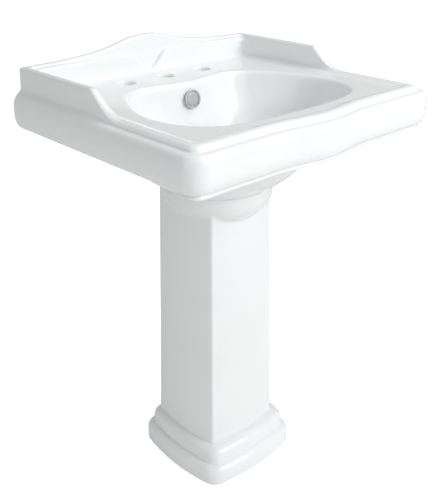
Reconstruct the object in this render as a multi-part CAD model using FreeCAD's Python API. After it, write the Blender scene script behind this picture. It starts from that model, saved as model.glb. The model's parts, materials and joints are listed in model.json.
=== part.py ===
import FreeCAD, Part
import math
import os

V = FreeCAD.Vector

# ---- Driving dimensions, mm. Origin: centre of the outer box's footprint, on the floor. ----
# +Z is up, the user stands on the -Y side, and the wall is the plane y = wall_y.

# Basin, seen from above
slab_width = 632.0
slab_depth = 527.0
front_swell = 13.0
swell_half_width = 125.0
slab_corner_radius = 36.0
tier_inset = 19.0
rim_width = 17.0

# Basin heights
splash_z = 881.0
rim_z = 838.0
deck_z = 832.0
shoulder_z = 828.0
slab_bottom_z = 761.0
lip_bottom_z = 753.0
lip_inset = 13.0
crown_rise = 31.0
crown_half_width = 230.0
crown_spread = 90.0
china_wall = 12.0

# Splash wall and its side wings
splash_thickness = 13.0
panel_thickness = 23.0
ledge_drop = 5.0
notch_half_width = 38.0
notch_drop = 41.0
wing_start = 238.0
wing_end = 318.0

# Faucet holes and wall bolts
faucet_spacing = 101.6
faucet_hole_radius = 17.5
faucet_from_wall = 77.0
wall_bolt_spacing = 260.0
wall_bolt_radius = 6.0
wall_bolt_z = 793.0

# Bowl
bowl_bottom_z = 659.0
drain_boss_z = 621.0
drain_from_wall = 245.0
drain_hole_radius = 22.5
overflow_z = 797.0
overflow_from_wall = 160.0
overflow_hole_radius = 15.0
overflow_tilt = 9.0
channel_half_width = 20.0
channel_gap = 9.0

# Pedestal
seat_z = 640.0
seat_radius = 114.5
seat_from_wall = 235.0
flare_back = 112.0
cradle_z = 628.0
cradle_depth = 72.0
column_from_wall = 226.0
column_half_top = 80.5
column_half_bottom = 89.5
column_bow = 11.0
column_corner = 7.0
base_from_wall = 234.0
foot_half = 118.0
foot_bow = 15.0
foot_corner = 32.0
foot_height = 43.0
foot_round = 14.0
plinth_half = 106.0
plinth_bow = 12.0
plinth_corner = 24.0
plinth_height = 76.0
plinth_round = 12.0
pedestal_wall = 12.0
door_width = 112.0
floor_bolt_spacing = 150.0
floor_bolt_radius = 4.5
floor_bolt_from_wall = 183.0

# Drain and trap
tube_radius = 15.875
tube_wall = 1.2
thread_radius = 21.0
trap_bend_radius = 38.0
trap_arm_z = 486.0
elbow_radius = 34.0
arm_end_from_wall = 85.0
running_clearance = 0.05
lift_clearance = 0.3

wall_y = (slab_depth + front_swell) / 2
drain_y = wall_y - drain_from_wall
seat_y = wall_y - seat_from_wall
column_y = wall_y - column_from_wall
base_y = wall_y - base_from_wall


# ---- Small helpers ----

def box(x0, x1, y0, y1, z0, z1):
    return Part.makeBox(x1 - x0, y1 - y0, z1 - z0, V(x0, y0, z0))


def disc(radius, z0, z1, x=0.0, y=None):
    centre_y = drain_y if y is None else y
    return Part.makeCylinder(radius, z1 - z0, V(x, centre_y, z0))


def ring(outer, inner, z0, z1, y=None):
    return disc(outer, z0, z1, y=y).cut(disc(inner, z0 - 1, z1 + 1, y=y))


def turned(profile, centre_y):
    """A solid of revolution about the vertical line x = 0, y = centre_y, from (radius, z) points."""
    points = [V(radius, 0, z) for radius, z in profile]
    face = Part.Face(Part.makePolygon(points + points[:1]))
    solid = face.revolve(V(0, 0, 0), V(0, 0, 1), 360)
    solid.translate(V(0, centre_y, 0))
    return solid


def hex_nut(across_flats, bore, z0, z1, y=None):
    centre_y = drain_y if y is None else y
    corner = across_flats / math.sqrt(3)
    angles = [math.radians(60 * i) for i in range(7)]
    points = [V(corner * math.cos(a), centre_y + corner * math.sin(a), z0) for a in angles]
    body = Part.Face(Part.makePolygon(points)).extrude(V(0, 0, z1 - z0))
    round_off = Part.makeCone(corner - 2, corner + z1 - z0, z1 - z0 + 2, V(0, centre_y, z0))
    body = body.common(round_off.fuse(disc(corner, z0 + 2, z1, y=centre_y)))
    return body.cut(disc(bore, z0 - 1, z1 + 1, y=centre_y))


def level_edges(shape, z, keep=lambda centre: True):
    """Edges that lie flat at height z."""
    found = []
    for edge in shape.Edges:
        bounds = edge.BoundBox
        flat = abs(bounds.ZMin - z) < 0.01 and abs(bounds.ZMax - z) < 0.01
        if flat and keep(edge.CenterOfMass):
            found.append(edge)
    return found


def rounded(shape, radius, z, keep=lambda centre: True):
    return shape.makeFillet(radius, level_edges(shape, z, keep))


def spline(points, start=None, end=None):
    curve = Part.BSplineCurve()
    if start is None:
        curve.interpolate(Points=points)
    else:
        curve.interpolate(Points=points, InitialTangent=start, FinalTangent=end)
    return curve.toShape()


def off_wall(centre):
    return centre.y < wall_y - 1


# ---- Basin outlines ----

def swell(x):
    """How far the middle of the front stands forward of its ends."""
    if abs(x) >= swell_half_width:
        return 0.0
    return front_swell * math.cos(math.pi * x / (2 * swell_half_width)) ** 2


def plan_outline(inset, z, back=0.0, corner=None):
    """The basin's outline from above, moved in by inset at the sides and front and by back at the wall."""
    half = slab_width / 2 - inset
    front = wall_y - slab_depth + inset
    rear = wall_y - back
    radius = corner or max(slab_corner_radius - inset, 6.0)
    arc = radius * (1 - math.sqrt(0.5))
    reach = half - radius
    stations = 24
    xs = [reach * (2 * i / stations - 1) for i in range(stations + 1)]
    wave = [V(x, front - swell(x), z) for x in xs]
    left = Part.Arc(V(-half, front + radius, z), V(-half + arc, front + arc, z), V(-reach, front, z))
    right = Part.Arc(V(reach, front, z), V(half - arc, front + arc, z), V(half, front + radius, z))
    edges = [
        Part.makeLine(V(half, rear, z), V(-half, rear, z)),
        Part.makeLine(V(-half, rear, z), V(-half, front + radius, z)),
        left.toShape(),
        spline(wave, V(1, 0, 0), V(1, 0, 0)),
        right.toShape(),
        Part.makeLine(V(half, front + radius, z), V(half, rear, z)),
    ]
    return Part.Wire(edges)


def layer(inset, z0, z1, back=0.0, corner=None):
    return Part.Face(plan_outline(inset, z0, back, corner)).extrude(V(0, 0, z1 - z0))


# Right half of the bowl's edge at deck level: (half width, distance from the wall)
bowl_edge = [
    (0, 453), (65, 452), (122, 446), (172, 430), (204, 402), (223, 363), (229, 320),
    (221, 270), (203, 224), (183, 187), (158, 152), (120, 133), (82, 135), (42, 144), (0, 149),
]
edge_half, edge_front, edge_back = 229.0, 453.0, 133.0

# Bowl sections: (height, half width, front and back distance from the wall, how round 0..1)
bowl_sections = [
    (deck_z + 8, 231, 455, 131, 0.0),
    (deck_z, 229, 453, 133, 0.0),
    (deck_z - 8, 224, 448, 138, 0.0),
    (deck_z - 41, 216, 439, 143, 0.1),
    (deck_z - 81, 199, 419, 152, 0.35),
    (bowl_bottom_z + 54, 168, 386, 167, 0.7),
    (bowl_bottom_z + 24, 122, 338, 188, 0.95),
    (bowl_bottom_z + 8, 76, 297, 208, 1.0),
    (bowl_bottom_z, 40, drain_from_wall + 40, drain_from_wall - 40, 1.0),
]


def bowl_wire(z, half, front, back, roundness):
    middle = (front + back) / 2
    reach = (front - back) / 2
    points = []
    last = len(bowl_edge) - 1
    for i, (x, distance) in enumerate(bowl_edge):
        angle = math.pi * i / last
        edge_x = x * half / edge_half
        edge_d = back + (distance - edge_back) * (front - back) / (edge_front - edge_back)
        round_x = half * math.sin(angle)
        round_d = middle + reach * math.cos(angle)
        mixed_x = edge_x * (1 - roundness) + round_x * roundness
        mixed_d = edge_d * (1 - roundness) + round_d * roundness
        points.append(V(mixed_x, wall_y - mixed_d, z))
    mirrored = [V(-p.x, p.y, p.z) for p in points[-2:0:-1]]
    curve = Part.BSplineCurve()
    curve.interpolate(Points=points + mirrored, PeriodicFlag=True)
    return Part.Wire(curve.toShape())


def bowl_solid(grow):
    """The bowl's space, with every wall moved out by grow."""
    wires = []
    for z, half, front, back, roundness in bowl_sections:
        near_floor = z < bowl_bottom_z + 30
        drop = grow if near_floor else grow * 0.3
        wires.append(bowl_wire(z - drop, half + grow, front + grow, back - grow, roundness))
    return Part.makeLoft(wires, True, False)


# ---- Basin ----

def crown(x):
    """Height of the splash wall's top above its ends."""
    peak = crown_rise / (1 + (abs(x) / crown_spread) ** 2.6)
    tail = 2.2 * (x / crown_half_width) ** 2
    return max(0.0, peak - tail)


def splash_wall():
    half = slab_width / 2 - tier_inset
    xs = [half * (2 * i / 32 - 1) for i in range(33)]
    top = spline([V(x, wall_y, splash_z + crown(x)) for x in xs])
    corners = [(half, splash_z), (half, deck_z - 6), (-half, deck_z - 6), (-half, splash_z)]
    ends = [V(x, wall_y, z) for x, z in corners]
    face = Part.Face(Part.Wire([top] + Part.makePolygon(ends).Edges))
    wall = face.extrude(V(0, -splash_thickness, 0))
    front_edges = [e for e in wall.Edges if e.BoundBox.YMax < wall_y - splash_thickness + 0.1]
    crest = [e for e in front_edges if e.BoundBox.ZMin > splash_z - 0.1]
    return wall.makeFillet(5.0, crest)


def notched_panel():
    """The thicker lower panel, with a round-ended notch cut down into its middle."""
    half = slab_width / 2 - tier_inset - rim_width + 2
    top = splash_z - ledge_drop
    panel = box(-half, half, wall_y - panel_thickness, wall_y - 1, deck_z - 6, top)
    bottom = splash_z - notch_drop
    steps = [(1.0, 0.0), (0.93, 0.3), (0.7, 0.62), (0.4, 0.9), (0.0, 1.0)]
    left = [V(-notch_half_width * w, wall_y, top - (top - bottom) * d) for w, d in steps]
    right = [V(-p.x, p.y, p.z) for p in left[-2::-1]]
    curve = spline(left + right)
    over = [V(side * notch_half_width, wall_y, top + 9) for side in (1, -1)]
    lid = Part.makePolygon([right[-1]] + over + [left[0]])
    notch = Part.Face(Part.Wire([curve] + lid.Edges)).extrude(V(0, -60, 0))
    notch.translate(V(0, -splash_thickness, 0))
    panel = rounded(panel, 4.0, top, lambda c: c.y < wall_y - panel_thickness + 1)
    return panel.cut(notch)


def ogee_cutter():
    """Everything above the line along which the side wings fall from the splash wall's height to the rim."""
    fall = splash_z - rim_z
    span = wing_end - wing_start
    clear = slab_width
    curve = []
    for i in range(13):
        t = i / 12
        drop = fall * (1 - math.cos(math.pi * t ** 0.65)) / 2
        curve.append(V(-clear, wall_y - wing_start - span * t, splash_z - drop))
    ogee = spline(curve, V(0, -1, 0), V(0, -1, 0))
    top, front = splash_z + 60, wall_y - slab_depth - 60
    frame = [(front, rim_z), (front, top), (curve[0].y, top)]
    rest = Part.makePolygon([curve[-1]] + [V(-clear, y, z) for y, z in frame] + [curve[0]])
    return Part.Face(Part.Wire([ogee] + rest.Edges)).extrude(V(2 * clear, 0, 0))


def rim_and_wings():
    """The raised border of the deck, which rises at the sides into the wings of the splash wall."""
    border = layer(tier_inset, shoulder_z - 4, splash_z)
    border = border.cut(layer(tier_inset + rim_width, deck_z, splash_z + 1, back=splash_thickness))
    border = border.cut(ogee_cutter())
    above = [e for e in border.Edges if e.BoundBox.ZMin > rim_z - 0.1]
    crest = [e for e in above if e.BoundBox.YMin < wall_y - splash_thickness - 1]
    return border.makeFillet(4.5, crest)


def basin_body():
    """Apron, shoulder, rim and splash wall, hollow from below."""
    slab = layer(0, slab_bottom_z, shoulder_z)
    slab = rounded(slab, 8.0, shoulder_z, off_wall)
    slab = rounded(slab, 20.0, slab_bottom_z, off_wall)
    lip = rounded(layer(lip_inset, lip_bottom_z, slab_bottom_z + 6), 4.0, lip_bottom_z, off_wall)
    body = slab.fuse(lip).fuse(layer(tier_inset, shoulder_z - 4, deck_z)).fuse(rim_and_wings())
    body = body.cut(layer(lip_inset + china_wall, lip_bottom_z - 1, slab_bottom_z + 12, back=14.0))
    body = body.cut(layer(china_wall + 2, slab_bottom_z + 10, shoulder_z - china_wall, back=14.0))
    body = body.cut(layer(tier_inset + china_wall, slab_bottom_z + 20, deck_z - china_wall, back=14.0))
    return body.fuse(splash_wall()).fuse(notched_panel())


# The round underside, (radius, z): a boss inside the pedestal's head, the seat, then the flare
underside = [
    (88, drain_boss_z), (91, seat_z), (112, seat_z), (seat_radius, seat_z + 1.5), (119, seat_z + 4),
    (127, seat_z + 9), (140, seat_z + 18), (156, seat_z + 30), (170, seat_z + 44), (180, seat_z + 63),
    (186, seat_z + 91),
]

# The space inside it, through which the overflow's water reaches the drain
overflow_chamber = [
    (77, drain_boss_z + 13), (80, seat_z + 6), (104, seat_z + 13), (120, seat_z + 24), (137, seat_z + 36),
    (150, seat_z + 49), (160, seat_z + 65), (165, seat_z + 77),
]


def turned_core(profile):
    """A solid of revolution about the seat's axis, closed along the axis."""
    return turned([(0, profile[0][1])] + profile + [(0, profile[-1][1])], seat_y)


def below_deck(wall_gap, x=300.0, top=deck_z):
    """Everything under the deck that is at least wall_gap off the wall."""
    return box(-x, x, wall_y - slab_depth, wall_y - wall_gap, drain_boss_z - 20, top)


def bowl_underside():
    """The bowl's outside, with the overflow's channel standing out at its back, and the flare below it."""
    flare = turned_core(underside).common(below_deck(flare_back))
    channel_reach = channel_half_width + china_wall - 1
    back = box(-channel_reach, channel_reach, drain_y, wall_y - 40, drain_boss_z, deck_z - 2)
    channel = bowl_solid(china_wall + 11 + channel_gap).common(back)
    return bowl_solid(china_wall).fuse(flare).fuse(channel).common(below_deck(0, top=deck_z - 1))


def faucet_holes():
    """Three holes through the deck, each with an eased upper edge."""
    holes = []
    ease = 3.5
    for i in (-1, 0, 1):
        x, y = i * faucet_spacing, wall_y - faucet_from_wall
        lead_in = V(x, y, deck_z - ease)
        holes.append(Part.makeCylinder(faucet_hole_radius, 60, V(x, y, deck_z - 40)))
        holes.append(Part.makeCone(faucet_hole_radius, faucet_hole_radius + ease, ease, lead_in))
    return holes


def wall_bolt_holes():
    starts = [V(side * wall_bolt_spacing / 2, wall_y - 60, wall_bolt_z) for side in (-1, 1)]
    return [Part.makeCylinder(wall_bolt_radius, 70, start, V(0, 1, 0)) for start in starts]


def basin():
    body = basin_body().fuse(bowl_underside())
    bowl_shell = bowl_solid(china_wall - 1)
    chamber = turned_core(overflow_chamber).cut(bowl_shell).common(below_deck(flare_back + 10))
    reach = channel_half_width
    slot = box(-reach, reach, drain_y + 20, wall_y - 45, seat_z + 5, overflow_z + 12)
    channel = bowl_solid(china_wall - 1 + channel_gap).cut(bowl_shell).common(slot)
    body = body.cut(bowl_solid(0.0)).cut(chamber).cut(channel)
    body = body.cut(disc(drain_hole_radius, drain_boss_z - 20, bowl_bottom_z + 5))
    body = body.cut(overflow_cylinder(overflow_hole_radius, -24, 12))
    for hole in faucet_holes() + wall_bolt_holes():
        body = body.cut(hole)
    return body


# ---- Overflow trim, set square to the bowl's back wall ----

def overflow_cylinder(radius, start, end):
    """A cylinder on the overflow's axis, between two distances from the china, positive towards the user."""
    tilt = math.radians(overflow_tilt)
    axis = V(0, -math.cos(tilt), math.sin(tilt))
    centre = V(0, wall_y - overflow_from_wall, overflow_z)
    return Part.makeCylinder(radius, end - start, centre + axis * start, axis)


def overflow_ring():
    rim = overflow_cylinder(19.5, 0.6, 4.0).cut(overflow_cylinder(15.5, 2.2, 5.0))
    rim = rim.fuse(overflow_cylinder(overflow_hole_radius - 0.4, -13, 2))
    return rim.cut(overflow_cylinder(12.5, -14, 5))


def overflow_cap():
    """Flat cover that snaps into the ring on three legs and lets water in behind its edge."""
    cap = overflow_cylinder(15.0, 2.4, 3.6)
    sleeve = overflow_cylinder(12.4, -6, 2.4).cut(overflow_cylinder(11.2, -7, 2.4))
    tilt = math.radians(overflow_tilt)
    axis = V(0, -math.cos(tilt), math.sin(tilt))
    centre = V(0, wall_y - overflow_from_wall, overflow_z)
    for turn in (0, 60, 120):
        gap = Part.makeBox(40, 6, 12, V(-20, -3, -6))
        gap.rotate(V(0, 0, 0), V(0, 0, 1), turn)
        gap.rotate(V(0, 0, 0), V(1, 0, 0), 90 - overflow_tilt)
        gap.translate(centre - axis * 5)
        sleeve = sleeve.cut(gap.common(overflow_cylinder(40, -5, 1.4)))
    return cap.fuse(sleeve)


# ---- Pedestal ----

def bowed_square(half, bow, radius, z, centre_y):
    """A square with sides that swell by bow in the middle, and corners rounded tangent to them."""
    side_radius = (half * half + bow * bow) / (2 * bow)
    side_centre = side_radius - (half + bow)
    reach = side_radius - radius
    corner = (math.sqrt(2 * reach * reach - side_centre * side_centre) - side_centre) / 2
    tangent_x = corner * side_radius / reach
    tangent_y = side_centre - (corner + side_centre) * side_radius / reach
    tip = corner + radius * math.sqrt(0.5)
    edges = []
    for quarter in range(4):
        turn = math.radians(90 * quarter)

        def place(x, y):
            across = x * math.cos(turn) - y * math.sin(turn)
            return V(across, x * math.sin(turn) + y * math.cos(turn) + centre_y, z)

        start, end = place(tangent_x, tangent_y), place(-tangent_y, -tangent_x)
        edges.append(Part.Arc(place(-tangent_x, tangent_y), place(0, -half - bow), start).toShape())
        edges.append(Part.Arc(start, place(tip, -tip), end).toShape())
    return Part.Wire(edges)


def bowed_block(half, bow, radius, z0, z1, centre_y):
    return Part.Face(bowed_square(half, bow, radius, z0, centre_y)).extrude(V(0, 0, z1 - z0))


def column_half(z):
    share = (z - plinth_height) / (seat_z - plinth_height)
    return column_half_bottom + (column_half_top - column_half_bottom) * share


def column_loft(shrink, z0, z1):
    wires = []
    for i in range(4):
        z = z0 + (z1 - z0) * i / 3
        half = column_half(z) - shrink
        wires.append(bowed_square(half, column_bow, column_corner, z, column_y))
    return Part.makeLoft(wires, True, False)


def cradle(shrink):
    """The round cup at the column's head: the lower part of an ellipsoid, then straight up to the seat."""
    radius = seat_radius - shrink
    depth = cradle_depth - shrink
    angles = [math.radians(-60 + 5 * i) for i in range(13)]
    points = [V(radius * math.cos(a), 0, cradle_z + depth * math.sin(a)) for a in angles]
    rest = [points[-1], V(radius, 0, seat_z), V(0, 0, seat_z), V(0, 0, points[0].z), points[0]]
    edges = [spline(points)] + Part.makePolygon(rest).Edges
    solid = Part.Face(Part.Wire(edges)).revolve(V(0, 0, 0), V(0, 0, 1), 360)
    solid.translate(V(0, seat_y, 0))
    return solid


def base_tiers():
    foot = bowed_block(foot_half, foot_bow, foot_corner, 0, foot_height, base_y)
    foot = rounded(rounded(foot, foot_round, foot_height), 4.0, 0)
    plinth = bowed_block(plinth_half, plinth_bow, plinth_corner, 2, plinth_height, base_y)
    return foot.fuse(rounded(plinth, plinth_round, plinth_height))


def base_hollow():
    wall = pedestal_wall + 2
    foot_top, plinth_top = foot_height - pedestal_wall, plinth_height - pedestal_wall
    lower = bowed_block(foot_half - wall, foot_bow, foot_corner - wall, -1, foot_top, base_y)
    return [lower, bowed_block(plinth_half - wall, plinth_bow, plinth_corner - wall, -1, plinth_top, base_y)]


def pedestal():
    body = base_tiers().fuse(column_loft(0, plinth_height - 12, seat_z)).fuse(cradle(0))
    body = body.cut(column_loft(pedestal_wall, 20, cradle_z - 40)).cut(cradle(pedestal_wall))
    for hollow in base_hollow():
        body = body.cut(hollow)
    door = door_width / 2
    body = body.cut(box(-door, door, column_y + 20, base_y + 160, -1, seat_z + 1))
    bolt_y = wall_y - floor_bolt_from_wall
    for side in (-1, 1):
        x = side * floor_bolt_spacing / 2
        ends = sorted((x - side * 17, side * (foot_half - 3)))
        ear = box(ends[0], ends[1], bolt_y - 21, bolt_y + 21, 0, 10)
        hole = Part.makeCylinder(floor_bolt_radius, 20, V(x, bolt_y, -5))
        body = body.fuse(ear).cut(hole)
    return body


# ---- Drain ----

flange_top = bowl_bottom_z + 4.0
flange_base = bowl_bottom_z + 1.5
body_bottom = drain_boss_z - 58
bore_step = drain_boss_z - 40
nut_top = drain_boss_z - 19.6
nut_bore = thread_radius + running_clearance


def drain_flange():
    profile = [
        (17.0, flange_base), (32.0, flange_base), (32.0, flange_base + 0.9), (29.0, flange_top),
        (22.0, flange_top), (17.0, flange_base + 0.9),
    ]
    return turned(profile, drain_y).fuse(ring(19.0, 17.0, bowl_bottom_z - 13, flange_base))


def flange_gasket():
    return ring(31.0, drain_hole_radius, bowl_bottom_z, flange_base)


def drain_body():
    """Threaded tube through the basin, with two ports that take the overflow's water."""
    upper = ring(thread_radius, 19.05, bore_step, bowl_bottom_z + 1.0)
    tube = upper.fuse(ring(thread_radius, 16.5, body_bottom, bore_step))
    near, far, base = drain_y - 7, drain_y + 7, drain_boss_z + 14
    for side in (-1, 1):
        ends = sorted((side * 15, side * 24))
        tube = tube.cut(box(ends[0], ends[1], near, far, base, base + 8))
    return tube


def tapered_washer():
    base = drain_boss_z - 18
    profile = [(nut_bore, base), (36, base), (36, base + 7), (24, drain_boss_z), (nut_bore, drain_boss_z)]
    return turned(profile, drain_y)


def friction_washer():
    return ring(34.0, nut_bore + 0.05, nut_top, drain_boss_z - 18)


def drain_locknut():
    return hex_nut(56.0, nut_bore, nut_top - 10.4, nut_top)


stem_radius = 3.0


def stem_guide():
    """Three-armed spider inside the tube that keeps the stopper's stem upright."""
    base = drain_boss_z + 25
    top = base + 6
    guide = ring(16.9, 14.5, base, top).fuse(disc(5.5, base, top))
    for turn in (0, 120, 240):
        arm = box(0, 15.2, -1.2, 1.2, base, top)
        arm.rotate(V(0, 0, 0), V(0, 0, 1), turn)
        arm.translate(V(0, drain_y, 0))
        guide = guide.fuse(arm)
    return guide.cut(disc(stem_radius + running_clearance, base - 5, top + 4))


def tailpiece():
    inside = tube_radius - tube_wall
    thread = ring(16.45, inside, body_bottom + 2, bore_step)
    return thread.fuse(ring(tube_radius, inside, trap_top - 26, body_bottom + 3))


def tailpiece_seal():
    return ring(19.0, tube_radius + 0.1, body_bottom - 2.2, body_bottom)


# ---- Stopper, the one moving assembly ----

stopper_base = flange_top + lift_clearance
seal_top = stopper_base + 2.0


def stopper_seal():
    return ring(24.0, 6.0, stopper_base, seal_top)


def stopper_cap():
    profile = [
        (0, seal_top), (25.0, seal_top), (26.0, seal_top + 1.0), (25.2, seal_top + 2.4),
        (18.0, seal_top + 4.0), (0, seal_top + 4.8),
    ]
    return turned(profile, drain_y)


def stopper_stem():
    shoulder_base = stopper_base - 3
    shoulder = disc(6.0, shoulder_base, seal_top)
    shaft = disc(stem_radius, drain_boss_z + 2, shoulder_base)
    catch = disc(4.6, drain_boss_z - 0.5, drain_boss_z + 2.5)
    return shoulder.fuse(shaft).fuse(catch)


# ---- Trap ----

outlet_y = drain_y + 2 * trap_bend_radius
union_z = trap_arm_z - elbow_radius - 24
trap_top = union_z + 8
bend_z = trap_top - 44
bend_low = bend_z - trap_bend_radius
cleanout_y = drain_y + trap_bend_radius
cleanout_z = bend_low - tube_radius
tube_inside = tube_radius - tube_wall


def swept_tube(segments, start, direction):
    path = Part.Wire(segments)
    outer = Part.Wire(Part.makeCircle(tube_radius, start, direction))
    inner = Part.Wire(Part.makeCircle(tube_inside, start, direction))
    outside = path.makePipeShell([outer], True, True)
    inside = path.makePipeShell([inner], True, True)
    return outside.cut(inside)


def trap_bend():
    """Two upright legs joined by a half circle, with a socket on the inlet and a collar at the outlet."""
    start = V(0, drain_y, trap_top - 14)
    half_circle = Part.Arc(V(0, drain_y, bend_z), V(0, cleanout_y, bend_low), V(0, outlet_y, bend_z))
    path = [
        Part.makeLine(start, V(0, drain_y, bend_z)),
        half_circle.toShape(),
        Part.makeLine(V(0, outlet_y, bend_z), V(0, outlet_y, union_z)),
    ]
    bend = swept_tube(path, start, V(0, 0, -1)).cut(disc(17.5, trap_top - 28, trap_top + 1))
    socket = ring(18.6, tube_radius + 0.15, trap_top - 30, trap_top)
    neck = ring(18.6, tube_inside, trap_top - 32, trap_top - 28)
    collar = ring(19.4, tube_radius - 0.5, union_z - 6, union_z, y=outlet_y)
    boss = disc(9.0, cleanout_z - 5, cleanout_z + 3, y=cleanout_y)
    hole = disc(6.0, cleanout_z - 6, cleanout_z + 6, y=cleanout_y)
    return bend.fuse(socket).fuse(neck).fuse(collar).fuse(boss).cut(hole)


def cleanout_plug():
    head = hex_nut(17.0, 0.5, cleanout_z - 12, cleanout_z - 6, y=cleanout_y)
    fill = disc(0.6, cleanout_z - 12, cleanout_z - 6, y=cleanout_y)
    return head.fuse(fill).fuse(disc(5.95, cleanout_z - 6, cleanout_z + 1, y=cleanout_y))


def cleanout_washer():
    return ring(8.8, 6.0, cleanout_z - 6, cleanout_z - 5, y=cleanout_y)


def inlet_nut():
    """Slip nut: a skirt over the socket, and a lip round the tailpiece."""
    nut = hex_nut(46.0, tube_radius + 0.25, trap_top - 14, trap_top + 9)
    return nut.cut(disc(18.75, trap_top - 15, trap_top + 5))


def inlet_washer():
    return ring(18.5, tube_radius, trap_top, trap_top + 4.5)


def union_nut():
    """Turned over: its lip holds the bend's collar and its skirt screws on the arm's socket."""
    nut = hex_nut(48.0, tube_radius + 0.25, union_z - 11, union_z + 12, outlet_y)
    return nut.cut(disc(19.6, union_z - 7, union_z + 13, y=outlet_y))


def union_washer():
    return ring(19.0, tube_inside + 1, union_z, union_z + 2, y=outlet_y)


def trap_arm():
    """Socket, elbow and the level run towards the wall, open for the waste pipe that leads into it."""
    base = union_z + 2
    turn_z = trap_arm_z - elbow_radius
    corner = elbow_radius * (1 - math.sqrt(0.5))
    end = wall_y - arm_end_from_wall
    elbow = Part.Arc(V(0, outlet_y, turn_z), V(0, outlet_y + corner, trap_arm_z - corner),
                     V(0, outlet_y + elbow_radius, trap_arm_z))
    path = [
        Part.makeLine(V(0, outlet_y, base), V(0, outlet_y, turn_z)),
        elbow.toShape(),
        Part.makeLine(V(0, outlet_y + elbow_radius, trap_arm_z), V(0, end, trap_arm_z)),
    ]
    arm = swept_tube(path, V(0, outlet_y, base), V(0, 0, 1))
    return arm.fuse(ring(19.2, tube_inside, base, base + 12, y=outlet_y))


# ---- Every piece, one file each ----

nodes = {
    "basin": basin,
    "pedestal": pedestal,
    "overflow_ring": overflow_ring,
    "overflow_cap": overflow_cap,
    "drain_flange": drain_flange,
    "drain_flange_gasket": flange_gasket,
    "drain_body": drain_body,
    "drain_tapered_washer": tapered_washer,
    "drain_friction_washer": friction_washer,
    "drain_locknut": drain_locknut,
    "stopper_stem_guide": stem_guide,
    "stopper_cap": stopper_cap,
    "stopper_seal": stopper_seal,
    "stopper_stem": stopper_stem,
    "tailpiece": tailpiece,
    "tailpiece_seal": tailpiece_seal,
    "trap_bend": trap_bend,
    "trap_cleanout_plug": cleanout_plug,
    "trap_cleanout_washer": cleanout_washer,
    "trap_inlet_nut": inlet_nut,
    "trap_inlet_washer": inlet_washer,
    "trap_union_nut": union_nut,
    "trap_union_washer": union_washer,
    "trap_arm": trap_arm,
}

os.makedirs("parts", exist_ok=True)
for name, make in nodes.items():
    shape = make()
    shape.exportStep("parts/" + name + ".step")
    box_now = shape.BoundBox
    print(name, len(shape.Solids), "solids", shape.isValid(), round(shape.Volume / 1000, 1), "cm3",
          round(box_now.ZMin, 1), round(box_now.ZMax, 1))
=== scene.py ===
import json
import math

import bpy
import numpy as np
from mathutils import Matrix, Vector


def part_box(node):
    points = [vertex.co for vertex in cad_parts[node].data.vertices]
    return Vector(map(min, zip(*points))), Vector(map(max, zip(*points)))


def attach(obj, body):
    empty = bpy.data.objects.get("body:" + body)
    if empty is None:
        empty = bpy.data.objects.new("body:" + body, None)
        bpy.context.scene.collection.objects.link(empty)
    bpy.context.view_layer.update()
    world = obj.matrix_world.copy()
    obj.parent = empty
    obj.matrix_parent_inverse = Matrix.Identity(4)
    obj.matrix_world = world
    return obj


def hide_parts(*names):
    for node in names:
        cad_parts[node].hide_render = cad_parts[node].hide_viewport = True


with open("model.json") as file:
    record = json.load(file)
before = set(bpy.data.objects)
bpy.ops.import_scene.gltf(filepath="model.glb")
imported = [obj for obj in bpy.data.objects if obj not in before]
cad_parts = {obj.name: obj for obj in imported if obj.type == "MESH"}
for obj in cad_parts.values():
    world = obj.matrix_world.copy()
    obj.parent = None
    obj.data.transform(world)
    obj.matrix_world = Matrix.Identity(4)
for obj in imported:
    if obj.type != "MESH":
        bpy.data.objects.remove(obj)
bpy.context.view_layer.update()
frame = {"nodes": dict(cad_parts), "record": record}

_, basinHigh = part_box("basin")
mm = 0.001
wallY = basinHigh.y / mm  # the plane of the wall; shapes are worked out in millimetres


# Small tools used by every piece

def deselectAll():
    if bpy.context.mode != "OBJECT":
        bpy.ops.object.mode_set(mode="OBJECT")
    bpy.ops.object.select_all(action="DESELECT")


def pick(piece):
    deselectAll()
    piece.select_set(True)
    bpy.context.view_layer.objects.active = piece


def editAll(piece):
    pick(piece)
    bpy.ops.object.mode_set(mode="EDIT")
    bpy.ops.mesh.select_all(action="SELECT")


def editNone(piece, kind="FACE"):
    pick(piece)
    bpy.ops.object.mode_set(mode="EDIT")
    bpy.ops.mesh.select_mode(type=kind)
    bpy.ops.mesh.select_all(action="DESELECT")
    bpy.ops.object.mode_set(mode="OBJECT")


def leaveEdit():
    bpy.ops.object.mode_set(mode="OBJECT")


def useModifier(piece, kind, **settings):
    pick(piece)
    modifier = piece.modifiers.new(kind.title(), kind)
    for name, value in settings.items():
        setattr(modifier, name, value)
    bpy.ops.object.modifier_apply(modifier=modifier.name)


def softenEdges(piece, width, segments, degrees):
    limit = math.radians(degrees)
    useModifier(piece, "BEVEL", width=width * mm, segments=segments, limit_method="ANGLE", angle_limit=limit)


def smoothByAngle(piece, degrees):
    pick(piece)
    bpy.ops.object.shade_smooth_by_angle(angle=math.radians(degrees))


def finishPiece(piece, body, slot, material, *nodes):
    piece.data.materials.clear()
    piece.data.materials.append(material)
    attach(piece, body)
    if nodes:
        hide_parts(*nodes)
    print(piece.name, "has", len(piece.data.polygons), "faces")


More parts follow.
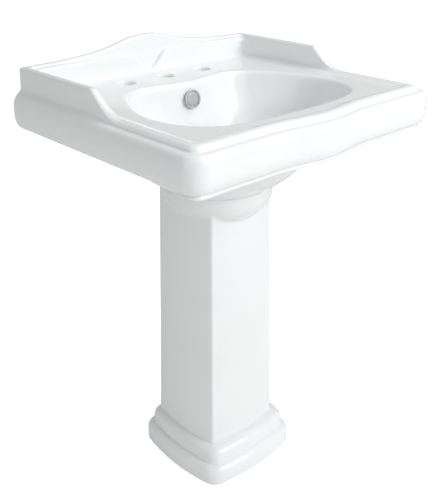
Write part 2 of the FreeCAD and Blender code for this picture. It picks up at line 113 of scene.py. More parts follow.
# A grid laid over rows of points in millimetres, with its seams merged and its faces turned outwards.
def netPiece(name, net):
    rows, columns = net.shape[:2]
    deselectAll()
    bpy.ops.mesh.primitive_grid_add(x_subdivisions=columns - 1, y_subdivisions=rows - 1, size=2)
    piece = bpy.context.object
    piece.name = name
    flat = np.array([v.co[:2] for v in piece.data.vertices])
    column = np.rint((flat[:, 0] + 1) / 2 * (columns - 1)).astype(int)
    row = np.rint((flat[:, 1] + 1) / 2 * (rows - 1)).astype(int)
    piece.data.vertices.foreach_set("co", (net[row, column] * mm).ravel())
    piece.data.update()
    editAll(piece)
    bpy.ops.mesh.remove_doubles(threshold=0.00002)
    bpy.ops.mesh.normals_make_consistent(inside=False)
    leaveEdit()
    return piece


def smoothStep(value, start, end):
    share = np.clip((np.asarray(value, float) - start) / (end - start), 0, 1)
    return share * share * (3 - 2 * share)


# A row between the rows of a table, on a smooth curve through them.
def throughRows(table, place):
    rows = np.array(table, float)
    i = int(min(max(math.floor(place), 0), len(rows) - 2))
    t = place - i
    before, after = rows[max(i - 1, 0)], rows[min(i + 2, len(rows) - 1)]
    here, there = rows[i], rows[i + 1]
    bend = 2 * before - 5 * here + 4 * there - after
    turn = 3 * (here - there) + after - before
    return here + 0.5 * t * (there - before + t * (bend + t * turn))


# Materials

def newMaterial(name, **sockets):
    material = bpy.data.materials.new(name)
    material.use_nodes = True
    shader = material.node_tree.nodes["Principled BSDF"]
    for socket, value in sockets.items():
        shader.inputs[socket.replace("_", " ")].default_value = value
    return material, material.node_tree, shader


def addNoise(tree, scale, detail, stretch=(1, 1, 1)):
    place = tree.nodes.new("ShaderNodeTexCoord")
    mapping = tree.nodes.new("ShaderNodeMapping")
    mapping.inputs["Scale"].default_value = stretch
    noise = tree.nodes.new("ShaderNodeTexNoise")
    noise.inputs["Scale"].default_value = scale
    noise.inputs["Detail"].default_value = detail
    tree.links.new(place.outputs["Object"], mapping.inputs["Vector"])
    tree.links.new(mapping.outputs["Vector"], noise.inputs["Vector"])
    return noise


# Colours or numbers spread between low and high by a noise.
def rampTo(tree, source, socket, low, high, start=0.35, end=0.65):
    ramp = tree.nodes.new("ShaderNodeValToRGB")
    for element, position, value in zip(ramp.color_ramp.elements, (start, end), (low, high)):
        element.position = position
        element.color = (*value, 1) if isinstance(value, tuple) else (value, value, value, 1)
    tree.links.new(source.outputs["Fac"], ramp.inputs["Fac"])
    tree.links.new(ramp.outputs["Color"], socket)


def addBump(tree, shader, source, distance, strength, under=None):
    bump = tree.nodes.new("ShaderNodeBump")
    bump.inputs["Distance"].default_value = distance
    bump.inputs["Strength"].default_value = strength
    tree.links.new(source.outputs["Fac"], bump.inputs["Height"])
    if under:
        tree.links.new(under.outputs["Normal"], bump.inputs["Normal"])
    tree.links.new(bump.outputs["Normal"], shader.inputs["Normal"])
    return bump


glaze = {
    "light": (0.873, 0.893, 0.898),
    "shade": (0.857, 0.873, 0.873),
    "roughness": (0.13, 0.2),
    "coat": 0.25,
    "waviness": 0.0009,
}


# Fired white glaze: glassy, a little uneven as it ran, with fine orange peel.
def makeGlaze(name):
    material, tree, shader = newMaterial(name, IOR=1.52, Coat_Weight=glaze["coat"], Coat_Roughness=0.12)
    tint = addNoise(tree, 4.5, 3)
    rampTo(tree, tint, shader.inputs["Base Color"], glaze["shade"], glaze["light"])
    haze = addNoise(tree, 18, 4)
    rampTo(tree, haze, shader.inputs["Roughness"], *glaze["roughness"])
    run = addNoise(tree, 14, 2, (1, 1, 0.6))
    wave = addBump(tree, shader, run, glaze["waviness"], 0.10)
    peel = addNoise(tree, 260, 2)
    addBump(tree, shader, peel, 0.0002, 0.05, wave)
    return material


# Plated brass: bright or satin by its roughness and tone, with light polishing marks and water haze.
def makeChrome(name, low=0.04, high=0.1, tone=0.78):
    material, tree, shader = newMaterial(name, Metallic=1.0)
    tint = addNoise(tree, 30, 3)
    dull = (tone - 0.04, tone - 0.03, tone - 0.01)
    bright = (tone + 0.04, tone + 0.045, tone + 0.05)
    rampTo(tree, tint, shader.inputs["Base Color"], dull, bright)
    haze = addNoise(tree, 120, 5)
    rampTo(tree, haze, shader.inputs["Roughness"], low, high)
    marks = addNoise(tree, 500, 2)
    addBump(tree, shader, marks, 0.0001, 0.04)
    return material


# Satin plate of the overflow cover, brushed across.
def makeSatin(name):
    material, tree, shader = newMaterial(name, Metallic=1.0)
    grain = addNoise(tree, 160, 4, (0.15, 1, 4))
    rampTo(tree, grain, shader.inputs["Base Color"], (0.47, 0.49, 0.495), (0.53, 0.55, 0.555))
    rampTo(tree, grain, shader.inputs["Roughness"], 0.42, 0.55)
    addBump(tree, shader, grain, 0.0001, 0.08)
    return material


# Turned brass, duller where it has been handled.
def makeBrass(name):
    material, tree, shader = newMaterial(name, Metallic=1.0)
    tint = addNoise(tree, 60, 4)
    rampTo(tree, tint, shader.inputs["Base Color"], (0.58, 0.43, 0.2), (0.78, 0.62, 0.33))
    rings = addNoise(tree, 90, 3, (0.2, 0.2, 12))
    rampTo(tree, rings, shader.inputs["Roughness"], 0.22, 0.42)
    addBump(tree, shader, rings, 0.0002, 0.12)
    return material


# Black moulded rubber with a dusty bloom.
def makeRubber(name):
    material, tree, shader = newMaterial(name)
    bloom = addNoise(tree, 70, 5)
    rampTo(tree, bloom, shader.inputs["Base Color"], (0.018, 0.018, 0.019), (0.05, 0.05, 0.052))
    rampTo(tree, bloom, shader.inputs["Roughness"], 0.55, 0.8)
    grain = addNoise(tree, 900, 2)
    addBump(tree, shader, grain, 0.0001, 0.2)
    return material


basinGlaze = makeGlaze("basin_glaze")
pedestalGlaze = makeGlaze("pedestal_glaze")
chrome = makeChrome("chrome_plate")
bezelPlate = makeChrome("bezel_plate", 0.34, 0.46, 0.58)
satin = makeSatin("satin_plate")
brass = makeBrass("turned_brass")
rubber = makeRubber("black_rubber")
slotMaterials = {
    "china": basinGlaze,
    "chrome": chrome,
    "satin_metal": satin,
    "brass": brass,
    "rubber": rubber,
}
print("materials made")


# Basin

basin = {
    "halfWidth": 297.0,  # of the tier that carries the rim, which stands 19 mm inside the slab
    "frontFromWall": 508.0,
    "cornerRadius": 17.0,
    "innerCorner": 14.0,
    "swell": 13.0,
    "swellReach": 125.0,
    "deck": 832.0,
    "splashTop": 881.0,
    "ledge": 876.0,
    "crownRise": 31.0,
    "crownSpread": 90.0,
    "notchDrop": 36.0,
    "notchSpread": 33.0,
    "wingStart": 238.0,
    "wingEnd": 318.0,
    "drainFromWall": 245.0,
    "drainRadius": 22.5,
    "drainSeat": 33.0,  # the flat ring of the bowl's floor under the drain's flange
    "seatFromWall": 235.0,
    "flareBack": 112.0,
    "chinaWall": 12.0,
    "rearBlend": 34.0,  # over which the splash wall's ends run into the wings
    "bossBottom": 621.05,
    "bowlBottom": 659.0,
}

# The overflow's channel, which stands out at the back of the bowl
channel = {"halfWidth": 22.0, "edge": 36.0, "standsOut": 19.0}

# From the deck over the rim and down to the step below it.
# Each row: front (in, height), wing (in, height), how far the back's face stands off the wall
rimRows = [
    ((41, 832), (46, 832), 48), ((37, 832), (36, 832), 38), ((31.5, 832.4), (28, 832.6), 31),
    ((27, 833.5), (22.5, 835), 26.5), ((23, 835.3), (19, 840), 24), ((20, 836.6), (18, 851), 23.2),
    ((18.5, 837.3), (17.3, 865), 23), ((17.3, 837.7), (17, 871.5), 22.4),
    ((16.2, 837.9), (16.8, 873.3), 20.5), ((15.2, 838), (16.5, 874.8), 16),
    ((14, 838), (16, 876.3), 13.6), ((12.5, 838), (15, 877.9), 13),
    ((11, 837.8), (13.5, 879.4), 12.4), ((9, 837.4), (11, 880.5), 10.5), ((7, 836.7), (8.5, 881), 7.5),
    ((5, 835.7), (5.5, 880.7), 4.2), ((3.2, 834.4), (3, 879.6), 1.6), ((1.6, 832.9), (1.2, 877.8), 0.3),
    ((0.6, 831.9), (0.3, 875), 0),
]

# Outside, from the step down over the shoulder and apron to the lip and in under it.
# Each row: front (in, height), side (in, height), back (in, height)
apronRows = [
    ((0, 831.2), (0, 841), (0, 859)), ((-0.3, 829.8), (-0.8, 837.5), (0, 851)),
    ((-1.4, 828.6), (-2.4, 835), (0, 845)), ((-3.8, 828), (-5, 832.8), (0, 839)),
    ((-7.5, 827.4), (-8.4, 830.2), (0, 833)), ((-11.5, 825.9), (-12, 826.4), (0, 827)),
    ((-14.8, 822.8), (-15, 822), (0, 822)), ((-17.2, 818), (-17.2, 817), (0, 817)),
    ((-18.6, 811), (-18.5, 810), (0, 810)), ((-19, 802), (-19, 802), (0, 802)),
    ((-19, 791), (-19, 791), (0, 791)), ((-18.4, 781), (-18, 781), (0, 781)),
    ((-16.2, 772), (-15, 771.5), (0, 772)), ((-12.5, 765.6), (-10.5, 764.6), (0.3, 765.5)),
    ((-8.5, 762.4), (-5, 760.2), (1.2, 761.5)), ((-4.8, 761.5), (1, 758.2), (2.6, 759)),
    ((-3.8, 760.6), (3.5, 757.9), (4, 758)), ((-4.6, 759.5), (5, 757.7), (5.2, 757.7)),
    ((-6.6, 757.5), (6.5, 757.6), (6.5, 757.6)), ((-6.2, 755), (8, 757.5), (8, 757.5)),
    ((-4.2, 753.5), (9.5, 757.5), (9.5, 757.5)), ((-1.5, 753.1), (11, 757.5), (11, 757.6)),
    ((2, 753.7), (12.5, 758), (12.7, 758.2)), ((4, 756), (13.5, 759.5), (13.7, 759.8)),
    ((5, 763), (14, 765), (14, 765)), ((2, 777), (8, 777), (14, 777)), ((2, 807), (5, 807), (14, 807)),
    ((14, 819), (14, 819), (22, 819)), ((38, 820), (38, 820), (42, 820)),
]

# Half of the bowl's edge: (half width, distance from the wall), from the front round to the back
bowlEdge = [
    (0, 453), (65, 452), (122, 446), (172, 430), (204, 402), (223, 363), (229, 320),
    (221, 270), (203, 224), (183, 187), (158, 152), (120, 133), (82, 135), (42, 144), (0, 149),
]
edgeHalf, edgeFront, edgeBack = 229.0, 453.0, 133.0

# Levels of the bowl: (height, half width, front and back distance from the wall, how round)
bowlLevels = [
    (840, 231, 455, 131, 0.0), (832, 229, 453, 133, 0.0), (824, 224, 448, 138, 0.0),
    (791, 216, 439, 143, 0.1), (751, 199, 419, 152, 0.35), (713, 168, 386, 167, 0.7),
    (683, 122, 338, 188, 0.95), (667, 76, 297, 208, 1.0), (659, 40, 285, 205, 1.0),
]
outsideRows = [(2.2, 820), (2.6, 804), (3.1, 786), (3.6, 766), (4.1, 748), (4.45, 736)]
lipRows = [(-2.6, 827.6), (-0.8, 829.7), (1.4, 831.1), (4, 831.8), (7, 832)]
flareRows = [
    (186, 729), (184, 716), (180, 703), (175.5, 692.5), (170, 684), (163, 676.2), (156, 670), (148, 663.6),
    (140, 658), (133, 653.2), (126, 648.7), (120, 644.9), (116.4, 642.2), (115, 640.6), (114.6, 640.06),
    (112, 640), (92.5, 640), (91, 639.2), (88.6, 622.2), (87, 621.05),
]


def swellAt(x):
    wave = np.cos(math.pi * x / (2 * basin["swellReach"])) ** 2
    return np.where(np.abs(x) < basin["swellReach"], basin["swell"] * wave, 0.0)


def splashTopAt(x):
    peak = basin["crownRise"] / (1 + (np.abs(x) / basin["crownSpread"]) ** 2.6)
    return basin["splashTop"] + np.maximum(0, peak - 2.2 * (x / 230.0) ** 2)


def ledgeAt(x):
    return basin["ledge"] - basin["notchDrop"] * np.exp(-(np.abs(x) / basin["notchSpread"]) ** 2.8)


# How much of the side wing's height is there: 1 at the wall, falling along an ogee to 0 at the rim.
def wingShare(fromWall):
    t = np.clip((fromWall - basin["wingStart"]) / (basin["wingEnd"] - basin["wingStart"]), 0, 1)
    return 1 - (1 - np.cos(math.pi * t ** 0.65)) / 2


# Heights of the rim rows at the back: up the panel, over its ledge and up to the splash wall's top.
def backHeights(x):
    top, ledge, deck = splashTopAt(x), ledgeAt(x), basin["deck"]
    gap = top - ledge
    panel = [deck + (ledge - deck) * share for share in (0, 0, 0.018, 0.09, 0.2, 0.48, 0.84, 0.965, 1)]
    foot = [ledge + 0.2, ledge + np.minimum(1.0, 0.2 * gap), ledge + np.minimum(3.2, 0.45 * gap)]
    crest = [top - np.minimum(2.6, 0.4 * gap), top - np.minimum(0.9, 0.15 * gap), top, top]
    return panel + foot + crest + [top - 0.5, top - 1.8, top - 4.5]


# Places of the net's columns over the right half, from the middle of the front to the middle of the back
frontEnd, frontFixed = 280, 150
sideFront, sideRear, sideFixed = 491, 16, (90, 430)
backEnd, backFixed = 281, 120
frontPlaces = np.linspace(0, frontEnd, 25)
cornerTurns = np.radians(np.linspace(0, 90, 8))[1:]
sideStretches = [(sideFront, 330, 10), (330, 228, 21), (228, sideRear, 10)]
sidePlaces = np.concatenate([np.linspace(start, end, count)[1:] for start, end, count in sideStretches])
rearTurns = np.radians(np.linspace(0, 90, 6))[1:]
backStretches = [(backEnd, backFixed, 13), (backFixed, 60, 11), (60, 0, 21)]
backPlaces = np.concatenate([np.linspace(start, end, count)[1:] for start, end, count in backStretches])


# One ring of the net round the outline. Each of front, side and back is (in, height),
# and heights at the back are a function of x.
def outlineRing(front, side, back, sideShare, rearRadius):
    radius = max(basin["cornerRadius"] - front[0], basin["innerCorner"])
    half = basin["halfWidth"] - front[0]
    reach = basin["frontFromWall"] - front[0]
    x = np.interp(frontPlaces, [0, frontFixed, frontEnd], [0, frontFixed, half - radius])
    rings = [np.stack([x, wallY - reach - swellAt(x), np.full_like(x, front[1])], 1)]
    turn = cornerTurns
    x = half - radius + radius * np.sin(turn)
    y = wallY - reach + radius - radius * np.cos(turn)
    rings.append(np.stack([x, y, np.full_like(x, front[1])], 1))
    backStart = back[0] + rearRadius
    stops = [backStart, *sideFixed, reach - radius]
    fromWall = np.interp(sidePlaces, [sideRear, *sideFixed, sideFront], stops)
    share = sideShare(fromWall)
    inward = front[0] + (side[0] - front[0]) * share
    height = front[1] + (side[1] - front[1]) * share
    rings.append(np.stack([basin["halfWidth"] - inward, wallY - fromWall, height], 1))
    endHalf, endHeight = basin["halfWidth"] - inward[-1], height[-1]
    x = endHalf - rearRadius + rearRadius * np.cos(rearTurns)
    y = wallY - backStart + rearRadius * np.sin(rearTurns)
    rings.append(np.stack([x, y, np.full_like(x, endHeight)], 1))
    x = np.interp(backPlaces, [0, backFixed, backEnd], [0, backFixed, endHalf - rearRadius])
    blend = smoothStep(endHalf - rearRadius - x, 0, basin["rearBlend"])
    z = endHeight + (back[1](x) - endHeight) * blend
    rings.append(np.stack([x, np.full_like(x, wallY - back[0]), z], 1))
    return np.concatenate(rings)


def rimRings():
    radii = [16] * 9 + [10] * 4 + [7, 4, 3, 2] + [1.5] * 2
    rings = []
    for i, (front, wing, back) in enumerate(rimRows):
        heights = lambda x, i=i: backHeights(x)[i]
        rings.append(outlineRing(front, wing, (back, heights), wingShare, radii[i]))
    return rings


def apronRings():
    rings = []
    for i, (front, side, back) in enumerate(apronRows):
        heights = lambda x, z=back[1]: np.full_like(x, z)
        share = wingShare if i < 6 else (lambda fromWall: smoothStep(fromWall, 500, 440))
        rings.append(outlineRing(front, side, (back[0], heights), share, 1.5 if i < 24 else 8))
    return rings


# Closed outline of the bowl at one level, as (x, distance from the wall) points.
def bowlOutline(level, grow=0.0):
    half, front, back, roundness = level[1] + grow, level[2] + grow, level[3] - grow, level[4]
    last = len(bowlEdge) - 1
    points = []
    for i, (x, fromWall) in enumerate(bowlEdge):
        angle = math.pi * i / last
        stretch = (front - back) / (edgeFront - edgeBack)
        edge = (x * half / edgeHalf, back + (fromWall - edgeBack) * stretch)
        curve = (half * math.sin(angle), (front + back) / 2 + (front - back) / 2 * math.cos(angle))
        points.append([edge[k] * (1 - roundness) + curve[k] * roundness for k in (0, 1)])
    loop = points + [[-x, y] for x, y in points[-2:0:-1]]
    wrapped = loop[-2:] + loop + loop[:3]
    return np.array([throughRows(wrapped, 2 + k / 12) for k in range(12 * len(loop))])


# How far an outline lies from a centre in each direction; 0 points to the front.
def reachOf(outline, centre, angles):
    dx, dy = outline[:, 0], outline[:, 1] - centre
    around = np.arctan2(dx, dy)
    order = np.argsort(around)
    return np.interp(angles, around[order], np.hypot(dx, dy)[order], period=2 * math.pi)


def polarRing(reach, centre, angles, height):
    x = reach * np.sin(angles)
    fromWall = centre + reach * np.cos(angles)
    return np.stack([x, wallY - fromWall, np.full_like(x, height)], 1)


def levelRing(place, angles, grow=0.0, height=None, extra=0.0):
    level = throughRows(bowlLevels, place)
    centre = (level[2] + level[3]) / 2
    reach = reachOf(bowlOutline(level, grow), centre, angles) + extra
    return polarRing(reach, centre, angles, level[0] if height is None else height)


# Down the bowl's outside, with the overflow's channel on its back, and in along the flare to the seat.
def undersideRings(angles):
    rings = []
    wall = basin["chinaWall"]
    for place, height in outsideRows:
        level = throughRows(bowlLevels, place)
        centre = (level[2] + level[3]) / 2
        reach = reachOf(bowlOutline(level, wall), centre, angles)
        across = np.abs(reach * np.sin(angles))
        behind = np.cos(angles) < 0
        swelling = (1 - smoothStep(across, channel["halfWidth"], channel["edge"])) * behind
        rings.append(polarRing(reach + channel["standsOut"] * swelling, centre, angles, height))
    centre = basin["seatFromWall"]
    for i, (radius, height) in enumerate(flareRows):
        reach = np.full_like(angles, float(radius))
        if i < 3:
            below, above = bowlLevels[5][0], bowlLevels[4][0]
            level = throughRows(bowlLevels, 5 - (height - below) / (above - below))
            bowl = reachOf(bowlOutline(level, wall), centre, angles)
            reach = np.maximum(reach, bowl)
        ring = polarRing(reach, centre, angles, height)
        ring[:, 1] = np.minimum(ring[:, 1], wallY - basin["flareBack"])
        rings.append(ring)
    return rings


# From the drain hole's lower edge up through it, out over the bowl's floor and up its wall to the lip.
def bowlRings(angles):
    drain, radius = basin["drainFromWall"], basin["drainRadius"]
    low, high = basin["bossBottom"], basin["bowlBottom"]
    hole = [(radius + 1.2, low), (radius, low + 1.15), (radius, high - 0.8), (radius + 0.8, high)]
    hole.append((basin["drainSeat"], high))
    rings = [polarRing(np.full_like(angles, r), drain, angles, z) for r, z in hole]
    for place in np.linspace(8, 2, 17):
        rings.append(levelRing(place, angles))
    rings += [levelRing(1, angles, 0.0, height, offset) for offset, height in lipRows]
    return rings


# Cuts a round hole, its upper edge eased by flare.
def boreThrough(piece, name, radius, depth, place, direction, flare=0.0):
    deselectAll()
    bpy.ops.mesh.primitive_cylinder_add(vertices=48, radius=radius * mm, depth=depth * mm)
    cutter = bpy.context.object
    cutter.name = name
    if flare:
        for step in range(1, 6):
            turn = math.radians(18 * step)
            editNone(cutter)
            top = max(cutter.data.polygons, key=lambda face: face.center.z)
            top.select = True
            bpy.ops.object.mode_set(mode="EDIT")
            before = math.radians(18 * (step - 1))
            lift = flare * (math.sin(turn) - math.sin(before))
            spread = (radius + flare * (1 - math.cos(turn))) / (radius + flare * (1 - math.cos(before)))
            bpy.ops.mesh.extrude_region_move(TRANSFORM_OT_translate={"value": (0, 0, lift * mm)})
            bpy.ops.transform.resize(value=(spread, spread, 1))
            leaveEdit()
        editNone(cutter)
        top = max(cutter.data.polygons, key=lambda face: face.center.z)
        top.select = True
        bpy.ops.object.mode_set(mode="EDIT")
        bpy.ops.mesh.extrude_region_move(TRANSFORM_OT_translate={"value": (0, 0, 3 * mm)})
        leaveEdit()
    turn = Vector((0, 0, 1)).rotation_difference(Vector(direction)).to_matrix().to_4x4()
    cutter.data.transform(Matrix.Translation(Vector(place) * mm) @ turn)
    useModifier(piece, "BOOLEAN", operation="DIFFERENCE", solver="EXACT", object=cutter)
    bpy.data.objects.remove(cutter)


holes = {
    "faucetSpacing": 101.6,
    "faucetRadius": 17.5,
    "faucetFromWall": 77.0,
    "faucetEase": 4.0,
    "wallBoltSpacing": 260.0,
    "wallBoltRadius": 6.0,
    "wallBoltHeight": 793.0,
    "overflowRadius": 15.0,
    "overflowHeight": 797.0,
    "overflowFromWall": 160.0,
    "overflowTilt": 9.0,
}


# The overflow's centre on the bowl's back wall, and the way it faces
def overflowLine():
    tilt = math.radians(holes["overflowTilt"])
    centre = Vector((0, wallY - holes["overflowFromWall"], holes["overflowHeight"]))
    return centre, Vector((0, -math.cos(tilt), math.sin(tilt)))


def makeBasin():
    outer = rimRings() + apronRings()
    centre = (edgeFront + edgeBack) / 2
    inner = outer[0]
    angles = np.arctan2(inner[:, 0], (wallY - inner[:, 1]) - centre)
    bowl = bowlRings(angles)
    deck = [bowl[-1] + (inner - bowl[-1]) * share for share in (0.25, 0.5, 0.75)]
    under = undersideRings(angles)
    join = [outer[-1] + (under[0] - outer[-1]) * 0.5]
    net = np.array(outer + join + under + bowl + deck + [inner])
    piece = netPiece("basin_shell", net)
    useModifier(piece, "MIRROR", use_mirror_merge=True, merge_threshold=0.00005)
    editAll(piece)
    bpy.ops.mesh.normals_make_consistent(inside=False)
    leaveEdit()
    useModifier(piece, "SUBSURF", levels=1, render_levels=1)
    for i in (-1, 0, 1):
        x = i * holes["faucetSpacing"]
        depth, ease = 60.0, holes["faucetEase"]
        place = (x, wallY - holes["faucetFromWall"], basin["deck"] - ease - depth / 2 + 0.05)
        boreThrough(piece, "faucet_cutter", holes["faucetRadius"], depth, place, (0, 0, 1), ease)
    for side in (-1, 1):
        place = (side * holes["wallBoltSpacing"] / 2, wallY - 10, holes["wallBoltHeight"])
        boreThrough(piece, "bolt_cutter", holes["wallBoltRadius"], 30.0, place, (0, 1, 0))
    centre, axis = overflowLine()
    place = centre - axis * 5
    boreThrough(piece, "overflow_cutter", holes["overflowRadius"], 38.0, place, axis)
    smoothByAngle(piece, 38)
    finishPiece(piece, "sink", "china", basinGlaze, "basin")


makeBasin()


# Pedestal

pedestal = {
    "columnFromWall": 226.0,
    "baseFromWall": 234.0,
    "halfTop": 80.5,
    "halfBottom": 89.5,
    "columnBow": 11.0,
    "columnCorner": 7.0,
    "seat": 640.0,
    "seatRadius": 114.5,
    "cradle": 628.0,
    "cradleDepth": 72.0,
    "cupFrom": 588.0,
    "wall": 12.0,
    "door": 56.0,
    "foot": {"half": 118.0, "bow": 15.0, "corner": 32.0, "top": 43.0, "round": 14.0},
    "plinth": {"half": 106.0, "bow": 12.0, "corner": 24.0, "top": 76.0, "round": 12.0},
}


def arcRows(centre, middle, radius, start, end, steps):
    turns = np.radians(np.linspace(start, end, steps + 1))
    return [(centre + radius * math.cos(t), middle + radius * math.sin(t)) for t in turns]


def columnHalf(height):
    share = (height - pedestal["plinth"]["top"]) / (pedestal["seat"] - pedestal["plinth"]["top"])
    return pedestal["halfBottom"] + (pedestal["halfTop"] - pedestal["halfBottom"]) * share


# Every level of the pedestal: (half width, height, corner radius, bow, centre's distance from the wall)
def pedestalLevels():
    foot, plinth, centre = pedestal["foot"], pedestal["plinth"], pedestal["baseFromWall"]
    ease, turn = 4.0, foot["round"]
    base = arcRows(foot["half"] - ease, ease, ease, -90, 0, 4)
    base += arcRows(foot["half"] - turn, foot["top"] - turn, turn, 0, 80, 8)
    rows = [(half, z, foot["corner"], foot["bow"], centre) for half, z in base]
    turn, edge = plinth["round"], foot["top"]
    tier = [(plinth["half"] + 0.3, edge + 0.4), (plinth["half"], edge + 1.6)]
    tier += arcRows(plinth["half"] - turn, plinth["top"] - turn, turn, 0, 84, 8)
    rows += [(half, z, plinth["corner"], plinth["bow"], centre) for half, z in tier]
    heights = [plinth["top"] + rise for rise in (0.8, 2.4, 7)]
    heights += list(np.linspace(90, 550, 21)) + list(np.linspace(553, pedestal["seat"], 37))
    for z in heights:
        cove = 1.4 * max(0.0, 1 - (z - plinth["top"]) / 4)
        bow, corner = pedestal["columnBow"], pedestal["columnCorner"]
        rows.append((columnHalf(z) + cove, z, corner, bow, pedestal["columnFromWall"]))
    return rows


# How far a square with swelling sides and round corners lies from its centre in each direction.
def bowedReach(angles, half, bow, corner):
    sideRadius = (half * half + bow * bow) / (2 * bow)
    sideCentre = sideRadius - (half + bow)
    reach = sideRadius - corner
    place = (math.sqrt(2 * reach * reach - sideCentre * sideCentre) - sideCentre) / 2
    share = sideRadius / reach
    tangent = math.atan2(place * share, (place + sideCentre) * share - sideCentre)
    folded = (angles + math.pi / 4) % (math.pi / 2) - math.pi / 4
    flat = -sideCentre * np.cos(folded) + np.sqrt(sideRadius ** 2 - (sideCentre * np.sin(folded)) ** 2)
    lean = math.pi / 4 - np.abs(folded)
    diagonal = place * math.sqrt(2)
    inside = np.maximum(corner ** 2 - (diagonal * np.sin(lean)) ** 2, 0)
    rounded = diagonal * np.cos(lean) + np.sqrt(inside)
    return np.where(np.abs(folded) <= tangent, flat, rounded), tangent


# How far the round cup under the seat reaches from the column's axis at one height.
def cradleReach(angles, radius, depth, height, centre):
    drop = max(pedestal["cradle"] - height, 0) / depth
    if drop >= 1:
        return np.zeros_like(angles)
    radius = radius * math.sqrt(1 - drop * drop)
    offset = basin["seatFromWall"] - centre  # the cup stands this much further forward
    across = radius ** 2 - (offset * np.sin(angles)) ** 2
    return np.where(across > 0, offset * np.cos(angles) + np.sqrt(np.maximum(across, 0)), 0)


def softMax(a, b, blend):
    gap = np.maximum(blend - np.abs(a - b), 0) / blend
    return np.maximum(a, b) + gap * gap * blend / 4


# Angles round one level from the doorway's right edge by the front to its left edge; 0 is the front.
def doorwayPath(reachAt, tangent, door):
    sweep = np.linspace(math.radians(100), math.pi, 400)
    across = reachAt(sweep) * np.sin(sweep)
    edge = np.interp(-door, -across, sweep)
    quarter = math.pi / 2
    stops = [(edge, math.pi - tangent, 5), (math.pi - tangent, quarter + tangent, 8),
             (quarter + tangent, quarter - tangent, 14), (quarter - tangent, tangent, 8), (tangent, 0, 20)]
    half = [np.linspace(start, end, steps + 1)[:-1] for start, end, steps in stops]
    half = np.concatenate(half)
    return np.concatenate([half, [0.0], -half[::-1]])


def pedestalLoop(half, height, corner, bow, centre):
    wall, door = pedestal["wall"], pedestal["door"]
    radius, depth = pedestal["seatRadius"], pedestal["cradleDepth"]
    foot, plinth = pedestal["foot"]["half"] - wall - 2, pedestal["plinth"]["half"] - wall - 2
    column = columnHalf(height) - wall
    footIn, plinthIn = pedestal["foot"]["top"] - wall, pedestal["plinth"]["top"] - wall
    steps = [0, footIn - 4, footIn, plinthIn - 4, plinthIn]
    inHalf = float(np.interp(height, steps, [foot, foot, plinth, plinth, column]))
    inCorner = max(corner - wall, pedestal["columnCorner"])

    def outerReach(angles):
        square, _ = bowedReach(angles, half, bow, corner)
        return softMax(square, cradleReach(angles, radius, depth, height, centre), 3.0)

    def innerReach(angles):
        square, _ = bowedReach(angles, inHalf, bow, inCorner)
        cup = cradleReach(angles, radius - wall, depth - wall, height, centre)
        return np.maximum(cup, square * 0.9 if height > pedestal["cupFrom"] else square)

    paths = []
    for reachAt, size, turn in ((outerReach, half, corner), (innerReach, inHalf, inCorner)):
        _, tangent = bowedReach(np.zeros(1), size, bow, turn)
        angles = doorwayPath(reachAt, tangent, door)
        reach = reachAt(angles)
        y = wallY - centre - reach * np.cos(angles)
        paths.append(np.stack([reach * np.sin(angles), y, np.full_like(y, height)], 1))
    return paths[0], paths[1]


def makePedestal():
    rows = []
    levels = [pedestalLoop(*level) for level in pedestalLevels()]
    for i, (outer, inner) in enumerate(levels):
        if i == 0:
            middle = (outer + inner) / 2
            rows.append(np.concatenate([middle, middle[::-1], middle[:1]]))
        rows.append(np.concatenate([outer, inner[::-1], outer[:1]]))
    middle = (levels[-1][0] + levels[-1][1]) / 2
    rows.append(np.concatenate([middle, middle[::-1], middle[:1]]))
    piece = netPiece("pedestal_shell", np.array(rows))
    softenEdges(piece, 0.2, 2, 60)
    smoothByAngle(piece, 32)
    finishPiece(piece, "sink", "china", pedestalGlaze, "pedestal")


makePedestal()


# Overflow trim

trim = {
    "ringRadius": 19.5,
    "ringHole": 15.5,
    "ringBore": 12.5,
    "ringLift": 0.6,
    "ringDepth": 3.4,
    "capRadius": 14.9,
    "capLift": 2.4,
    "capDepth": 1.2,
}


def topFace(piece):
    return max(piece.data.polygons, key=lambda face: (round(face.center.z, 6), face.area))


def reshapeTop(piece, inset=0.0, lift=0.0):
    editNone(piece)
    topFace(piece).select = True
    bpy.ops.object.mode_set(mode="EDIT")
    if inset:
        bpy.ops.mesh.inset(thickness=inset * mm, depth=0)
    if lift:
        bpy.ops.mesh.extrude_region_move(TRANSFORM_OT_translate={"value": (0, 0, lift * mm)})
    leaveEdit()


def flatDisc(name, radius, depth, lift):
    deselectAll()
    middle = (0, 0, (lift + depth / 2) * mm)
    bpy.ops.mesh.primitive_cylinder_add(vertices=96, radius=radius * mm, depth=depth * mm, location=middle)
    piece = bpy.context.object
    piece.name = name
    pick(piece)
    bpy.ops.object.transform_apply(location=True, rotation=False, scale=False)
    return piece


def setOnOverflow(piece):
    centre, axis = overflowLine()
    turn = Vector((0, 0, 1)).rotation_difference(axis).to_matrix().to_4x4()
    piece.data.transform(Matrix.Translation(centre * mm) @ turn)


def makeOverflowRing():
    piece = flatDisc("overflow_bezel", trim["ringRadius"], trim["ringDepth"], trim["ringLift"])
    reshapeTop(piece, inset=trim["ringRadius"] - trim["ringHole"])
    reshapeTop(piece, lift=-1.8)
    reshapeTop(piece, inset=trim["ringHole"] - trim["ringBore"])
    reshapeTop(piece, lift=-14)
    softenEdges(piece, 0.6, 3, 40)
    setOnOverflow(piece)
    smoothByAngle(piece, 30)
    finishPiece(piece, "sink", "chrome", bezelPlate, "overflow_ring")


def makeOverflowCover():
    piece = flatDisc("overflow_cover", trim["capRadius"], trim["capDepth"], trim["capLift"])
    reshapeTop(piece, inset=5)
    reshapeTop(piece, inset=5)
    softenEdges(piece, 0.4, 3, 40)
    setOnOverflow(piece)
    smoothByAngle(piece, 30)
    finishPiece(piece, "sink", "satin_metal", satin, "overflow_cap")


makeOverflowRing()
makeOverflowCover()

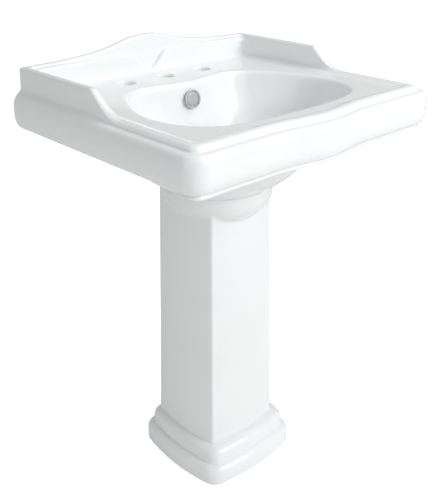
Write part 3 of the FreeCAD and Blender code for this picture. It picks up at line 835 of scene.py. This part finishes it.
for node, part in frame["nodes"].items():
    slots = [row["material_slot"] for row in frame["record"]["subparts"] if row["node"] == node]
    part.data.materials.clear()
    part.data.materials.append(slotMaterials[slots[0]])
print("fittings finished")


# Stage, camera and light

stage = {
    "floorSize": 30.0,
    "floorGlow": 0.6,
    "worldLight": 0.46,
    "camera": (-0.98444, -1.03385, 1.17842),
    "turn": (70.034, 0.0, -43.121),
    "lens": 54.33,
    "shift": -0.15,
}


def makeStage():
    deselectAll()
    bpy.ops.mesh.primitive_plane_add(size=stage["floorSize"], location=(0, 0, -0.0005))
    floor = bpy.context.object
    floor.name = "studio_floor"
    material, tree, shader = newMaterial("studio_white", Roughness=0.9)
    shader.inputs["Emission Color"].default_value = (1, 1, 1, 1)
    seen = tree.nodes.new("ShaderNodeLightPath")
    glow = tree.nodes.new("ShaderNodeMath")
    glow.operation = "MULTIPLY"
    glow.inputs[1].default_value = stage["floorGlow"]
    tree.links.new(seen.outputs["Is Camera Ray"], glow.inputs[0])
    tree.links.new(glow.outputs["Value"], shader.inputs["Emission Strength"])
    haze = addNoise(tree, 1.5, 2)
    rampTo(tree, haze, shader.inputs["Base Color"], (0.9, 0.9, 0.9), (0.92, 0.92, 0.92))
    floor.data.materials.append(material)


def addSoftLight(name, place, aim, size, power):
    deselectAll()
    bpy.ops.object.light_add(type="AREA", location=place)
    lamp = bpy.context.object
    lamp.name = name
    lamp.data.shape = "RECTANGLE"
    lamp.data.size, lamp.data.size_y = size
    lamp.data.energy = power
    lamp.rotation_euler = (Vector(aim) - Vector(place)).to_track_quat("-Z", "Y").to_euler()
    return lamp


def makeCamera():
    camera = bpy.data.objects.new("camera", bpy.data.cameras.new("camera"))
    bpy.context.scene.collection.objects.link(camera)
    camera.location = stage["camera"]
    camera.rotation_euler = [math.radians(turn) for turn in stage["turn"]]
    camera.data.sensor_width = 36
    camera.data.lens = stage["lens"]
    camera.data.shift_y = stage["shift"]
    bpy.context.scene.camera = camera


def makeWorld():
    world = bpy.data.worlds.new("studio")
    bpy.context.scene.world = world
    world.use_nodes = True
    background = world.node_tree.nodes["Background"]
    background.inputs["Color"].default_value = (1, 1, 1, 1)
    background.inputs["Strength"].default_value = stage["worldLight"]
    bpy.context.scene.view_settings.view_transform = "Standard"


makeStage()
makeCamera()
makeWorld()
addSoftLight("key", (0.9, -3.0, 2.3), (0, 0, 0.6), (1.9, 1.4), 64)
addSoftLight("overhead", (0.8, -0.6, 2.7), (0, 0.05, 0.8), (1.6, 1.6), 14)
addSoftLight("fill", (-3.0, -0.6, 1.3), (0, 0, 0.6), (1.8, 1.8), 9)
print("stage set")
